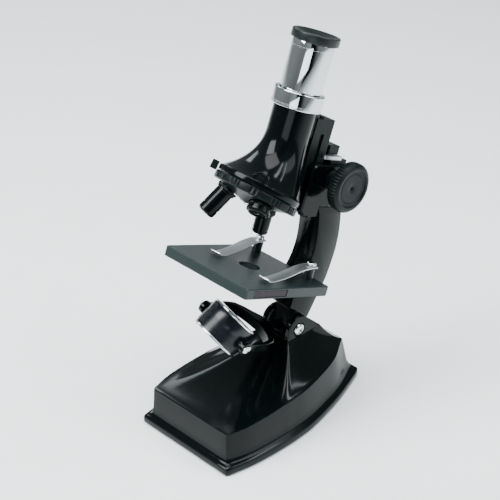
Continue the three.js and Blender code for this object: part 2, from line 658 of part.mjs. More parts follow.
const onAxis = [0, AXIS_Y];
piece(arm, "body_tube", bodyTube(), GLOSS_BLACK);
piece(arm, "tube_collar", cut(
  turned("z", [
    [TUBE.r + GAP + 0.1, COLLAR.bottom + 1.2],
    [TUBE.bore + FIT + 0.3, COLLAR.bottom + 1.2],
    [TUBE.bore + FIT + 0.3, COLLAR.top],
    [COLLAR.r - 0.6, COLLAR.top],
    [COLLAR.r, COLLAR.top - 0.6],
    [COLLAR.r, COLLAR.bottom + 1],
    [COLLAR.r - 0.6, COLLAR.bottom],
    [TUBE.r + GAP + 0.1, COLLAR.bottom],
    [TUBE.r + GAP + 0.1, COLLAR.bottom + 1.2],
  ], onAxis),
  rod("x", 1.2 + GAP, -20, -8, [AXIS_Y, 157.5], 16),
), CHROME);
piece(arm, "collar_set_screw", rod("x", 1.2, -COLLAR.r + 0.2, -TUBE.bore - 0.6, [AXIS_Y, 157.5], 16), STEEL);
piece(arm, "eyepiece_tube", turned("z", [
  [EYEPIECE.r - 2.6, EYEPIECE.top],
  [EYEPIECE.spigotR - 1.6, EYEPIECE.spigotBottom],
  [EYEPIECE.spigotR, EYEPIECE.spigotBottom],
  [EYEPIECE.spigotR, EYEPIECE.bottom],
  [EYEPIECE.r, EYEPIECE.bottom],
  [EYEPIECE.r, EYEPIECE.top],
  [EYEPIECE.r - 2.6, EYEPIECE.top],
], onAxis), CHROME);
piece(arm, "field_lens", turned("z", [
  [0, 170.4],
  [6, 170.9],
  [10.4, 172.2],
  [10.4, 173.6],
  [0, 173.6],
], onAxis, SMALL), GLASS);
piece(arm, "eyepiece_cap", turned("z", [
  [6, CAP.bottom],
  [CAP.r, CAP.bottom],
  [CAP.r, CAP.top - 0.8],
  [CAP.r - 0.9, CAP.top],
  [CAP.r - 2.4, CAP.top],
  [8, CAP.top - 2],
  [7, CAP.top - 2.6],
  [6, CAP.top - 2.6],
  [6, CAP.bottom],
], onAxis), SATIN_BLACK);
piece(arm, "eye_lens", turned("z", [
  [0, CAP.bottom + 0.4],
  [5.7, CAP.bottom + 0.4],
  [5.7, CAP.bottom + 1.6],
  [3, CAP.bottom + 2.5],
  [0, CAP.bottom + 2.8],
], onAxis, SMALL), GLASS);

// ---- Turret and objectives ----------------------------------------------------------------------------------

const OBJECTIVE_SPIGOT = 5.2;
const SEAT = -5.45; // top of an objective's collar, along its own axis
const OBJECTIVES = [
  { name: "high", place: 0, steps: [[6.9, 3.4], [6, 1.2]], barrel: 5.3, length: 22.8 },
  { name: "mid", place: -120, steps: [[7.4, 1.6], [6.8, 1.4]], barrel: 6, length: 27 },
  { name: "low", place: 120, steps: [[7.9, 2.2], [7.2, 1.5], [7.8, 2]], barrel: 6.6, length: 12.8 },
];

function objectiveFrame(place) {
  const spin = new THREE.Matrix4().makeRotationZ(THREE.MathUtils.degToRad(-place));
  const lean = new THREE.Matrix4().makeRotationX(TURRET.lean);
  return spin.multiply(new THREE.Matrix4().makeTranslation(0, TURRET.reach, 0)).multiply(lean);
}

function turretDisc() {
  const rim = new THREE.Shape();
  const ridges = 60;
  for (let i = 0; i < 2 * ridges; i++) {
    const smooth = Math.floor(i / 10) % 2;
    const r = TURRET.r - (i % 2 && !smooth ? 0.5 : 0);
    const at = [r * Math.cos((i * Math.PI) / ridges), r * Math.sin((i * Math.PI) / ridges)];
    if (i) rim.lineTo(...at);
    else rim.moveTo(...at);
  }
  const half = TURRET.thick / 2;
  const cone = turned("z", [
    [0, -8.4],
    [6, -8.4],
    [7, -8],
    [23.5, -half + 0.1],
    [TURRET.r - 0.8, -half],
    [TURRET.r - 0.8, half],
    [0, half],
  ]);
  const holes = OBJECTIVES.map(({ place }) =>
    rod("z", OBJECTIVE_SPIGOT + GAP, -20, 20, [0, 0]).transform(objectiveFrame(place).elements));
  return cut(
    join(plate(rim, -half + 0.6, half - 0.6), cone),
    ...holes,
    rod("z", 3 + FIT, -20, 20, [0, 0]),
    rod("z", 5, -20, -6.6, [0, 0]),
  );
}

function objectiveBarrel({ steps, barrel, length }) {
  const profile = [[3, 1.2], [3, -length], [barrel - 1, -length], [barrel, -length + 1.2]];
  const drops = steps.map(([r, height]) => ({ r, height }));
  const ends = [SEAT];
  drops.forEach(({ height }) => ends.push(ends[ends.length - 1] - height));
  profile.push([barrel, ends[ends.length - 1]]);
  for (let i = drops.length - 1; i >= 0; i--) profile.push([drops[i].r, ends[i + 1]], [drops[i].r, ends[i]]);
  profile.push([OBJECTIVE_SPIGOT, SEAT], [OBJECTIVE_SPIGOT, 1.2], [3, 1.2]);
  return turned("z", profile, [0, 0], 20);
}

piece(turret, "turret_disc", turretDisc(), SATIN_BLACK);
piece(turret, "turret_screw", screw("z", 4.2, 1.4, -9.6, -7.4, 4.2, [0, 0]), STEEL);
OBJECTIVES.forEach((objective) => {
  const holder = new THREE.Group();
  holder.applyMatrix4(objectiveFrame(objective.place));
  turret.add(holder);
  piece(holder, `objective_${objective.name}`, objectiveBarrel(objective), GLOSS_BLACK);
  const end = -objective.length;
  piece(holder, `objective_lens_${objective.name}`, turned("z", [
    [0, end + 0.4],
    [2.7, end + 0.9],
    [2.7, end + 2],
    [0, end + 2],
  ], [0, 0], SMALL), GLASS);
});

// The click stop's block on the left front of the flange.
const click = new THREE.Group();
click.rotation.z = THREE.MathUtils.degToRad(-51);
turret.add(click);
piece(click, "click_block", box([-3, 3], [-33.6, -TURRET.r - GAP], [1.4, 7.4]), SATIN_BLACK);

// ---- Stage --------------------------------------------------------------------------------------------------

const PANEL = { front: -88, back: -56, low: STAGE.top - 5.9, high: STAGE.top - 1.1, depth: 1 };
const CLIP = { x: 24, y: -22, post: 3.2, height: 7.6, width: 8.6, length: 47, thick: 0.8 };

function stagePlate() {
  const body = plate(roundedRect(-STAGE.half, STAGE.half, STAGE.front, STAGE.back, 1.4),
    STAGE.top - STAGE.thick, STAGE.top, 0.5, 1);
  const posts = [-1, 1].map((sign) =>
    rod("z", CLIP.post, STAGE.top - 1, STAGE.top + CLIP.height - 0.1, [sign * CLIP.x, CLIP.y]));
  const recess = box([STAGE.half - PANEL.depth, STAGE.half + 1], [PANEL.front, PANEL.back], [PANEL.low, PANEL.high]);
  return cut(
    join(body, ...posts),
    recess,
    rod("z", STAGE.holeR, 30, 50, onAxis, 32),
    ...STAGE_SCREWS.map((y) => rod("z", 1.7, 30, STAGE.top - 2, [0, y], 12)),
    ...[-1, 1].map((sign) => rod("z", 1.5 + GAP, 30, 60, [sign * CLIP.x, CLIP.y], 16)),
  );
}

piece(arm, "stage_plate", stagePlate(), STAGE_GREY);
piece(arm, "stage_side_panel", box([STAGE.half - PANEL.depth + 0.25, STAGE.half - 0.35],
  [PANEL.front + GAP, PANEL.back - GAP], [PANEL.low + GAP, PANEL.high - GAP]), PURPLE);
piece(arm, "stage_bracket", cut(
  join(
    box([-BRACKET.half, BRACKET.half], [BRACKET.front, BRACKET.back], [BRACKET.bottom, BRACKET.top]),
    box([-BRACKET.half + 1.9, BRACKET.half - 1.9], [BRACKET.back - 1, -6.5], [BRACKET.bottom, BRACKET.top]),
  ),
  rod("z", STAGE.holeR, 20, 40, onAxis, 32),
  ...STAGE_SCREWS.map((y) => rod("z", 1.7, 20, 40, [0, y], 12)),
  ...[-5, 5].map((x) => rod("y", 1.2, -20, 0, [x, 31], 12)),
), SATIN_BLACK);
STAGE_SCREWS.forEach((y) => {
  const body = screw("z", 3, 1.4, BRACKET.bottom - 2.2, BRACKET.bottom - GAP, STAGE.top - 3, [0, y]);
  piece(arm, "stage_screw", body, STEEL);
});

// A clip in its own frame: the screw at the origin, the strip running forward and down to the plate.
function clipStrip() {
  const { height, length, thick, width } = CLIP;
  const line = new THREE.CatmullRomCurve3([
    [4, height + 0.9], [-5, height + 0.7], [-14, height - 0.9], [-26, 3.2], [-38, 0.9],
    [-length + 3, 0.75], [-length, 2.4],
  ].map(([y, z]) => new THREE.Vector3(0, y, z)));
  const points = line.getPoints(22);
  const upper = points.map((p, i) => {
    const t = line.getTangent(i / 22);
    return [p.y + t.z * thick, p.z - t.y * thick];
  });
  const lower = points.map((p) => [p.y, p.z]);
  const strip = slab([...lower, ...upper.reverse()], -width / 2, width / 2, 0.15, 1);
  return cut(strip, rod("z", 1.5 + FIT, 0, 20, [0, 0]));
}

eachSide((side, sign) => {
  const holder = new THREE.Group();
  holder.position.set(sign * CLIP.x, CLIP.y, STAGE.top);
  holder.rotation.z = THREE.MathUtils.degToRad(sign > 0 ? 2.7 : 6.5);
  arm.add(holder);
  piece(holder, `stage_clip_${side}`, clipStrip(), STEEL);
  const headTop = CLIP.height + 4.4;
  piece(holder, `clip_screw_${side}`, screw("z", 3.1, 1.5, headTop, headTop - 2.2, -5, [0, 0]), CHROME);
});

// ---- Lamp and mirror drum -----------------------------------------------------------------------------------

function forkYoke() {
  const outer = FORK.arm + FORK.thick;
  const plan = new THREE.Shape();
  plan.moveTo(outer, 0).lineTo(outer, 20);
  plan.bezierCurveTo(outer, 31, 12, 33, 6, 40);
  plan.lineTo(-6, 40);
  plan.bezierCurveTo(-12, 33, -outer, 31, -outer, 20);
  plan.lineTo(-outer, 0).lineTo(-FORK.arm, 0).lineTo(-FORK.arm, 19);
  plan.bezierCurveTo(-FORK.arm, 27, -10, 29, 0, 31);
  plan.bezierCurveTo(10, 29, FORK.arm, 27, FORK.arm, 19);
  const bosses = [-1, 1].map((sign) => {
    const span = [sign * FORK.arm, sign * outer].sort((a, b) => a - b);
    return rod("x", 4.6, ...span, [0, 0]);
  });
  return cut(
    join(plate(plan, -3.4, 3.4, 0.5, 1), ...bosses, rod("y", FORK.stemR, 39, 55.2, [0, 0])),
    rod("x", FORK.pinR + GAP, -40, 40, [0, 0], 16),
  );
}

const SHELL = { half: 9, wall: 1.8, floorLow: -2, floorHigh: 0, bore: 15.4 };

function drumHousing() {
  const ribs = [-6.4, -4.6, -2.8].flatMap((z) => [
    [DRUM.r - 0.3, z - 0.35],
    [DRUM.r, z - 0.2],
    [DRUM.r, z + 0.2],
    [DRUM.r - 0.3, z + 0.35],
  ]);
  const body = turned("z", [
    [0, SHELL.floorLow],
    [SHELL.bore, SHELL.floorLow],
    [SHELL.bore, -SHELL.half],
    [DRUM.r - 0.3, -SHELL.half],
    ...ribs,
    [DRUM.r - 0.3, SHELL.half],
    [SHELL.bore, SHELL.half],
    [SHELL.bore, SHELL.floorHigh],
    [0, SHELL.floorHigh],
  ]);
  const bosses = [-1, 1].map((sign) => {
    const span = [sign * 12.6, sign * (DRUM.r - 0.5)].sort((a, b) => a - b);
    return rod("x", 3, ...span, [0, 0]);
  });
  const bores = [-1, 1].map((sign) => {
    const span = [sign * 13.6, sign * 30].sort((a, b) => a - b);
    return rod("x", FORK.pinR + FIT, ...span, [0, 0]);
  });
  return cut(
    join(body, ...bosses),
    ...bores,
    rod("z", 2, -5, 5, [0, 0], 16),
    box([-3.6, 3.6], [13, 20], [2.4, 5.6]),
  );
}

piece(fork, "lamp_fork", forkYoke(), GLOSS_BLACK);
eachSide((side, sign) => {
  const end = sign * (FORK.arm + FORK.thick + 2.1);
  const neck = sign * (FORK.arm + FORK.thick + GAP);
  const points = sign > 0 ? [end, neck, 14.2] : [-end, -neck, 14.2];
  const pin = screw("x", 3.2, FORK.pinR, ...points, [0, 0]);
  piece(fork, `fork_pin_${side}`, sign > 0 ? pin : pin.mirror([1, 0, 0]), CHROME);
});
piece(drum, "drum_housing", drumHousing(), SATIN_BLACK);
const trimRing = (low, high, inner) => turned("z", [
  [inner, low],
  [DRUM.r - 0.1, low],
  [DRUM.r, low + 0.2],
  [DRUM.r, high - 0.3],
  [DRUM.r - 0.4, high],
  [inner, high],
  [inner, low],
]);
piece(drum, "lamp_bezel", trimRing(SHELL.half + GAP, DRUM.length / 2, 14.2), CHROME);
piece(drum, "lamp_lens", turned("z", [
  [0, 6.9],
  [15, 6.9],
  [15, 8],
  [9, 8.7],
  [0, 9],
]), GLASS);
piece(drum, "lamp_reflector", turned("z", [
  [3, 1.2],
  [4.4, 1.2],
  [13.6, 6.2],
  [12.4, 6.5],
  [3, 2.2],
  [3, 1.2],
], [0, 0], 32), CHROME);
piece(drum, "led", turned("z", [
  [0, 0.5],
  [2.7, 0.5],
  [2.7, 1],
  [2.4, 1],
  [2.4, 4],
  [1.6, 5.2],
  [0, 5.7],
], [0, 0], 16), WHITE);
piece(drum, "coin_cell", turned("z", [
  [0, -5.8],
  [9, -5.8],
  [10, -5.5],
  [10, -2.9],
  [0, -2.6],
], [0, 0], 32), STEEL);
piece(drum, "cell_contact", join(
  box([-2, 2], [10.3, 10.8], [-7.3, -2.4]),
  box([-2, 2], [2, 10.8], [-7.3, -6.8]),
  box([-2, 2], [1.5, 4], [-7, -6.1]),
), BRASS);
piece(drum, "mirror_bezel", trimRing(-DRUM.length / 2, -SHELL.half - GAP, 14.2), CHROME);
piece(drum, "mirror", rod("z", 15, -8.9, -7.7, [0, 0], ROUND), CHROME);
piece(drum, "lamp_switch", join(
  box([-3.4, -0.6], [13.2, 18.8], [2.7, 5.3]),
  box([-5.4, 1.4], [13.2, 14.1], [2.7, 5.3]),
), WHITE);

export default microscope;
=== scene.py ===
import json
import math

import bmesh
import bpy
from mathutils import Matrix, Vector


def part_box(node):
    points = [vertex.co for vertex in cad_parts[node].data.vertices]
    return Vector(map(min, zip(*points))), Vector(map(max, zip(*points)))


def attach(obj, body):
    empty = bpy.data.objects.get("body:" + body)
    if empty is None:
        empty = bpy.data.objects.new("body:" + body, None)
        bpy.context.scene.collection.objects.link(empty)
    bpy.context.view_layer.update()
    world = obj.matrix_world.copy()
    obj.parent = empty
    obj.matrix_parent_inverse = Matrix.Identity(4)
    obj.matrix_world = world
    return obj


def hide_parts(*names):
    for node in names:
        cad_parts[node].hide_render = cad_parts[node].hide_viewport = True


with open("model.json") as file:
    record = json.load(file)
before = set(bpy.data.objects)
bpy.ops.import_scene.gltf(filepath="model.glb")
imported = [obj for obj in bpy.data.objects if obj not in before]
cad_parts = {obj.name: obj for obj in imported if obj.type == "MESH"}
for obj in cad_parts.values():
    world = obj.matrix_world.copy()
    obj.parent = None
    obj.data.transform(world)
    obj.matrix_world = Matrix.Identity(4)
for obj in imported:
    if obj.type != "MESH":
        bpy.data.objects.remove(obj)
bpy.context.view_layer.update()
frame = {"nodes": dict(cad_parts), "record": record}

# The helpers below take millimetres, as the part does, and turn them into metres.
MM = 0.001
JOINTS = {joint["name"]: joint for joint in frame["record"]["behaviour"]["joints"]}
SLOT_OF = {part["node"]: part["material_slot"] for part in frame["record"]["subparts"]}
BODY_OF = {node: body for body, nodes in frame["record"]["behaviour"]["bodies"].items() for node in nodes}


# ---- Frames --------------------------------------------------------------------------------------

def basis(origin, x_axis, y_axis, z_axis):
    """A matrix that carries a local frame in millimetres to the row frame in metres."""
    turn = Matrix((x_axis, y_axis, z_axis)).transposed().to_4x4()
    return Matrix.Translation(origin) @ turn @ Matrix.Scale(MM, 4)


def framed(joint, z_axis):
    """A frame at a joint, with its X along the row's X."""
    x_axis = Vector((1, 0, 0))
    z_axis = Vector(z_axis).normalized()
    return basis(JOINTS[joint]["pos_m"], x_axis, z_axis.cross(x_axis), z_axis)


ROW = Matrix.Scale(MM, 4)
ARM = framed("arm_tilt", JOINTS["focus_slide"]["axis"])
TURRET = framed("turret_spin", JOINTS["turret_spin"]["axis"])
TURRET_LEAN = math.acos(Vector(JOINTS["turret_spin"]["axis"]).dot(Vector(JOINTS["focus_slide"]["axis"])))
PINION = framed("pinion_spin", JOINTS["focus_slide"]["axis"])
FORK_X = Vector(JOINTS["drum_tilt"]["axis"]).normalized()
FORK_Y = Vector(JOINTS["lamp_swivel"]["axis"]).normalized()
DRUM_TILT = math.radians(-29)  # how far the lamp leans back from the fork's own direction
FORK = basis(JOINTS["drum_tilt"]["pos_m"], FORK_X, FORK_Y, FORK_X.cross(FORK_Y))
DRUM = FORK @ Matrix.Rotation(DRUM_TILT, 4, "X")
TO_X = Matrix.Rotation(math.pi / 2, 4, "Y")
AXIS_Y = -53.6  # the optical axis in the arm's frame


# ---- Materials -----------------------------------------------------------------------------------

NOISE_SPAN = (0.3, 0.7)  # the part of a noise's 0 to 1 that it mostly fills
WORN_SPAN = (0.53, 0.6)  # pointiness over which an edge turns to its worn colour
CLOUD_SCALE, RELIEF_DEPTH = 38.0, 0.0002


def material(name, color, rough, metal=0.0, vary=0.12, grain=900.0, bump=0.02, wear=None, **sockets):
    """A finish whose colour, roughness and surface vary a little at the scale of the real one."""
    mat = bpy.data.materials.new(name)
    mat.use_nodes = True
    tree = mat.node_tree
    shader = tree.nodes["Principled BSDF"]
    shader.inputs["Metallic"].default_value = metal
    for socket, value in sockets.items():
        shader.inputs[socket.replace("_", " ")].default_value = value
    place = tree.nodes.new("ShaderNodeTexCoord")

    def noise(scale, detail):
        node = tree.nodes.new("ShaderNodeTexNoise")
        node.inputs["Scale"].default_value = scale
        node.inputs["Detail"].default_value = detail
        tree.links.new(place.outputs["Object"], node.inputs["Vector"])
        return node.outputs["Fac"]

    def spread(source, low, high, span=NOISE_SPAN):
        node = tree.nodes.new("ShaderNodeMapRange")
        node.inputs["From Min"].default_value, node.inputs["From Max"].default_value = span
        node.inputs["To Min"].default_value = low
        node.inputs["To Max"].default_value = high
        tree.links.new(source, node.inputs["Value"])
        return node.outputs["Result"]

    cloud = noise(CLOUD_SCALE, 5.0)
    fine = noise(grain, 3.0)
    tint = tree.nodes.new("ShaderNodeMix")
    tint.data_type = "RGBA"
    tint.inputs["A"].default_value = (*[c * (1 - vary) for c in color], 1)
    tint.inputs["B"].default_value = (*[min(1, c * (1 + vary)) for c in color], 1)
    tree.links.new(spread(cloud, 0, 1), tint.inputs["Factor"])
    colour = tint.outputs["Result"]
    if wear:
        edge = tree.nodes.new("ShaderNodeNewGeometry")
        mask = spread(edge.outputs["Pointiness"], 0, 1, WORN_SPAN)
        worn = tree.nodes.new("ShaderNodeMix")
        worn.data_type = "RGBA"
        worn.inputs["B"].default_value = (*wear, 1)
        tree.links.new(mask, worn.inputs["Factor"])
        tree.links.new(colour, worn.inputs["A"])
        colour = worn.outputs["Result"]
    tree.links.new(colour, shader.inputs["Base Color"])
    tree.links.new(spread(fine, rough * 0.82, min(1, rough * 1.2)), shader.inputs["Roughness"])
    relief = tree.nodes.new("ShaderNodeBump")
    relief.inputs["Strength"].default_value = bump
    relief.inputs["Distance"].default_value = RELIEF_DEPTH
    tree.links.new(fine, relief.inputs["Height"])
    tree.links.new(relief.outputs["Normal"], shader.inputs["Normal"])
    return mat


FINISH = {
    "gloss_black": material("gloss_black", (0.0010, 0.0022, 0.0024), 0.12, bump=0.006,
                            Specular_IOR_Level=0.14),
    "satin_black": material("satin_black", (0.0020, 0.0046, 0.0047), 0.38, grain=2600, bump=0.16,
                            Specular_IOR_Level=0.14),
    "stage_grey": material("stage_grey", (0.0050, 0.0110, 0.0112), 0.33, grain=2200, bump=0.14,
                           wear=(0.02, 0.03, 0.03), Specular_IOR_Level=0.32),
    "chrome": material("chrome", (0.68, 0.71, 0.72), 0.055, metal=1, vary=0.03, bump=0.004),
    "steel": material("steel", (0.62, 0.66, 0.67), 0.36, metal=1, vary=0.06, grain=1500, bump=0.05),
    "brass": material("brass", (0.62, 0.45, 0.19), 0.3, metal=1, vary=0.1, bump=0.05),
    "rubber": material("rubber", (0.018, 0.018, 0.019), 0.85, grain=1800, bump=0.3),
    "purple": material("purple", (0.010, 0.0035, 0.0085), 0.25, bump=0.01, Specular_IOR_Level=0.2),
    "white": material("white", (0.78, 0.78, 0.74), 0.4, grain=1600, bump=0.05),
    "glass": material("glass", (0.90, 0.96, 0.97), 0.02, vary=0.01, bump=0.002,
                      Transmission_Weight=0.92, IOR=1.5),
    "mirror": material("mirror", (0.90, 0.92, 0.93), 0.015, metal=1, vary=0.01, bump=0.0),
}
CAP_GREY = material("cap_satin", (0.005, 0.008, 0.0076), 0.34, grain=2400, bump=0.1,
                    wear=(0.03, 0.038, 0.036), Specular_IOR_Level=0.3)
DRUM_BLACK = material("drum_satin", (0.0025, 0.0045, 0.0075), 0.24, grain=2000, bump=0.05,
                      Specular_IOR_Level=0.35)
GROUND_GLASS = material("ground_lens", (0.86, 0.93, 0.95), 0.12, vary=0.03, grain=600, bump=0.05,
                        Transmission_Weight=0.55, IOR=1.45)


# ---- Meshes --------------------------------------------------------------------------------------

SHARP = 33  # degrees between two faces from which their edge is drawn sharp
WELD_DISTANCE = 2e-6
BEVEL_FROM = math.radians(50)


def smooth_nodes():
    """Welds a CAD mesh's split corners and shades it smooth, except along its sharp edges."""
    group = bpy.data.node_groups.new("weld_and_smooth", "GeometryNodeTree")
    group.interface.new_socket("Geometry", in_out="INPUT", socket_type="NodeSocketGeometry")
    group.interface.new_socket("Geometry", in_out="OUTPUT", socket_type="NodeSocketGeometry")
    add = group.nodes.new
    source, result = add("NodeGroupInput"), add("NodeGroupOutput")
    plain = add("GeometryNodeRemoveAttribute")
    plain.inputs["Name"].default_value = "custom_normal"
    weld = add("GeometryNodeMergeByDistance")
    weld.inputs["Distance"].default_value = WELD_DISTANCE
    faces, edges = add("GeometryNodeSetShadeSmooth"), add("GeometryNodeSetShadeSmooth")
    edges.domain = "EDGE"
    edges.inputs["Shade Smooth"].default_value = False
    angle, sharp = add("GeometryNodeInputMeshEdgeAngle"), add("FunctionNodeCompare")
    sharp.inputs["B"].default_value = math.radians(SHARP)
    link = group.links.new
    link(source.outputs[0], plain.inputs["Geometry"])
    link(plain.outputs["Geometry"], weld.inputs["Geometry"])
    link(weld.outputs["Geometry"], faces.inputs["Geometry"])
    link(faces.outputs["Geometry"], edges.inputs["Geometry"])
    link(angle.outputs["Unsigned Angle"], sharp.inputs["A"])
    link(sharp.outputs["Result"], edges.inputs["Selection"])
    link(edges.outputs["Geometry"], result.inputs[0])
    return group


SMOOTH = smooth_nodes()


def mesh_object(name, points, faces, matrix):
    """A mesh with outward faces, its points given in millimetres in the local frame of matrix."""
    mesh = bpy.data.meshes.new(name)
    mesh.from_pydata([matrix @ Vector(p) for p in points], [], faces)
    body = bmesh.new()
    body.from_mesh(mesh)
    bmesh.ops.remove_doubles(body, verts=body.verts, dist=1e-6)
    bmesh.ops.recalc_face_normals(body, faces=body.faces)
    body.to_mesh(mesh)
    body.free()
    obj = bpy.data.objects.new(name, mesh)
    bpy.context.scene.collection.objects.link(obj)
    return obj


def loft(rings, loop=False):
    """Points and faces of a skin over rings of equal length; its ends are capped, or joined in a loop."""
    count = len(rings[0])
    points = [p for r in rings for p in r]
    faces = []
    for row in range(len(rings) if loop else len(rings) - 1):
        after = (row + 1) % len(rings)
        for i in range(count):
            j = (i + 1) % count
            faces.append((row * count + i, row * count + j, after * count + j, after * count + i))
    if not loop:
        faces.append(tuple(range(count)))
        faces.append(tuple(range((len(rings) - 1) * count, len(rings) * count)))
    return points, faces


def lathe(profile, sides=96, ridge=None):
    """A turned skin. A profile point is (radius, height), with a depth where ridges are cut into it."""
    rings = []
    for radius, height, *cut in profile:
        ring = []
        for i in range(sides):
            a = 2 * math.pi * i / sides
            r = max(radius, 1e-4) - (cut[0] * ridge(i / sides) if cut else 0)
            ring.append((r * math.cos(a), r * math.sin(a), height))
        rings.append(ring)
    return loft(rings, loop=profile[0][:2] == profile[-1][:2])


def modified(obj, kind, **settings):
    """Adds a modifier and makes its result the object's mesh."""
    modifier = obj.modifiers.new(kind.lower(), kind)
    for key, value in settings.items():
        setattr(modifier, key, value)
    bpy.context.view_layer.update()
    result = bpy.data.meshes.new_from_object(obj.evaluated_get(bpy.context.evaluated_depsgraph_get()))
    obj.modifiers.clear()
    obj.data = result
    return obj


def carved(obj, *tools, operation="DIFFERENCE"):
    """Cuts the tools out of a piece, or joins them to it, and takes them away."""
    for tool in tools:
        modified(obj, "BOOLEAN", object=tool, operation=operation, solver="EXACT")
        bpy.data.objects.remove(tool)
    return obj


def block(name, spans, matrix):
    """A box between spans ((x0, x1), (y0, y1), (z0, z1)), used to cut with."""
    points = [(x, y, z) for x in spans[0] for y in spans[1] for z in spans[2]]
    faces = [(0, 1, 3, 2), (4, 6, 7, 5), (0, 4, 5, 1), (2, 3, 7, 6), (0, 2, 6, 4), (1, 5, 7, 3)]
    return mesh_object(name, points, faces, matrix)


def finish(obj, body, mat, stands_for, angle=SHARP):
    """Shades a new piece, gives it its material and puts it on its body."""
    obj.data.polygons.foreach_set("use_smooth", [True] * len(obj.data.polygons))
    obj.data.set_sharp_from_angle(angle=math.radians(angle))
    obj.data.materials.clear()
    obj.data.materials.append(mat)
    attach(obj, body)
    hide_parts(*stands_for)


def turned(name, profile, matrix, node, mat=None, sides=96, ridge=None, angle=SHARP, tools=()):
    """A turned piece that stands for one CAD node and takes its body and finish."""
    obj = mesh_object(name, *lathe(profile, sides, ridge), matrix)
    carved(obj, *tools)
    slot = SLOT_OF[node]
    finish(obj, BODY_OF[node], mat or FINISH[slot], [node], angle)


def arc(centre, radius, start, end, steps):
    """Points on an arc between two bearings in degrees, such as a rounded edge of a profile."""
    angles = [math.radians(start + (end - start) * i / steps) for i in range(steps + 1)]
    return [(centre[0] + radius * math.cos(a), centre[1] + radius * math.sin(a)) for a in angles]


def dome(radius, low, rise, steps):
    """Points (radius, height) up a dome, without the one at its top."""
    angles = [math.pi / 2 * i / steps for i in range(steps)]
    return [(radius * math.cos(a), low + rise * math.sin(a)) for a in angles]


def rod(name, radius, low, high, matrix, sides=48):
    """A cylinder about the local Z, to cut with or to join on."""
    return mesh_object(name, *lathe([(0, low), (radius, low), (radius, high), (0, high)], sides), matrix)


# ---- Base ----------------------------------------------------------------------------------------

HALF_LENGTH, FRONT_HALF, WIDEST, BACK_HALF = 73.3, 41.8, 46.4, 21.5
PEDESTAL_FRONT, PEDESTAL_BACK, PEDESTAL_HALF, PEDESTAL_TOP = 10.4, 42.0, 13.0, 53.0
FRONT_CURVE, SIDE_CURVE, CREASE = 2.1, 1.25, 0.6
PIVOT_Y, PIVOT_Z, BOLT_BORE = 21.4, 58.0, 3.1
EAR_R, EAR_HALF, EAR_FRONT, EAR_BACK, EAR_LOW = 10.2, 12.98, 10.45, 41.95, 40
SLOT_R, SLOT_HALF = 15.8, 10.4
EDGE_STEPS, FLANK_STEPS, TAIL_STEPS = 6, 15, 24
WALL_INSET, WALL_LEAN, WALL_FRONT, WALL_BACK = 5.0, 6.0, 28.3, 34.0
RIGHT_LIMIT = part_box("base_shell")[1].x / MM
# The foot's side from its underside up to the ledge, as (inset, height).
FOOT_LEVELS = [(3.8, 3.2), (3.8, 0.8), (0.7, 0.8), (0.2, 1.1), (0, 1.8), (0, 5.0), (0.2, 5.7), (0.8, 6.25),
               (2.2, 6.7), (3.2, 7.2), (3.9, 8.2), (4.4, 9.3), (4.6, 10.2)]
FLARE_SHARES = [0, 0.03, 0.07, 0.12, 0.18, 0.25, 0.32, 0.4, 0.48, 0.56, 0.64, 0.72, 0.8, 0.87, 0.94, 1]


def spline(knots, steps):
    """Points along a Catmull-Rom curve through the knots."""
    padded = [2 * knots[0] - knots[1], *knots, 2 * knots[-1] - knots[-2]]
    points = []
    for i in range(steps + 1):
        at = i / steps * (len(knots) - 1)
        k = min(int(at), len(knots) - 2)
        t = at - k
        a, b, c, d = padded[k:k + 4]
        points.append(0.5 * (2 * b + (c - a) * t + (2 * a - 5 * b + 4 * c - d) * t ** 2
                             + (3 * b - a - 3 * c + d) * t ** 3))
    return points


def outline(inset, back_lean=0.0):
    """Right half of the base's outline, drawn in by an inset."""
    front, back = -HALF_LENGTH + inset, HALF_LENGTH - inset - back_lean
    drawn_in = inset * 0.95
    corner = FRONT_HALF - drawn_in
    flank = spline([Vector((x - drawn_in, y)) for x, y in (
        (FRONT_HALF, front + 1.6), (FRONT_HALF + 3.4, -52), (WIDEST, -34), (WIDEST, -16))], FLANK_STEPS)
    tail = spline([Vector((x - drawn_in, y)) for x, y in (
        (WIDEST, -16), (WIDEST - 1.6, 2), (WIDEST - 6, 22), (WIDEST - 12.5, 44 - back_lean * 0.4),
        (BACK_HALF + 3, back - 5), (BACK_HALF, back))], TAIL_STEPS)
    edge = [Vector((corner * 0.975 * i / (EDGE_STEPS - 1), front)) for i in range(EDGE_STEPS)]
    end = [Vector(((BACK_HALF - drawn_in) * t, back)) for t in (0.6, 0.3, 0)]
    half = [*edge, *flank, *tail[1:], *end]
    return [Vector((min(p.x, RIGHT_LIMIT), p.y)) for p in half]


def pedestal_section():
    """The pedestal's section, point for point with the outline."""
    front = [Vector((PEDESTAL_HALF * i / (EDGE_STEPS + FLANK_STEPS), PEDESTAL_FRONT))
             for i in range(EDGE_STEPS + FLANK_STEPS)]
    depth = PEDESTAL_BACK - PEDESTAL_FRONT
    side = [Vector((PEDESTAL_HALF, PEDESTAL_FRONT + depth * i / (TAIL_STEPS + 1)))
            for i in range(TAIL_STEPS + 1)]
    back = [Vector((PEDESTAL_HALF * t, PEDESTAL_BACK)) for t in (1, 0.5, 0)]
    return [*front, *side, *back]


def ring(half, height):
    """A closed ring from its right half, with a height for each point."""
    right = [(p.x, p.y, height(p, i)) for i, p in enumerate(half)]
    return right + [(-x, y, z) for x, y, z in right[-2:0:-1]]


def wall_top(p):
    """Height of the wall's upper edge, which climbs from the front to the back."""
    share = (p.y + HALF_LENGTH - WALL_INSET) / (2 * HALF_LENGTH - 2 * WALL_INSET)
    return WALL_FRONT + (WALL_BACK - WALL_FRONT) * min(max(share, 0), 1)


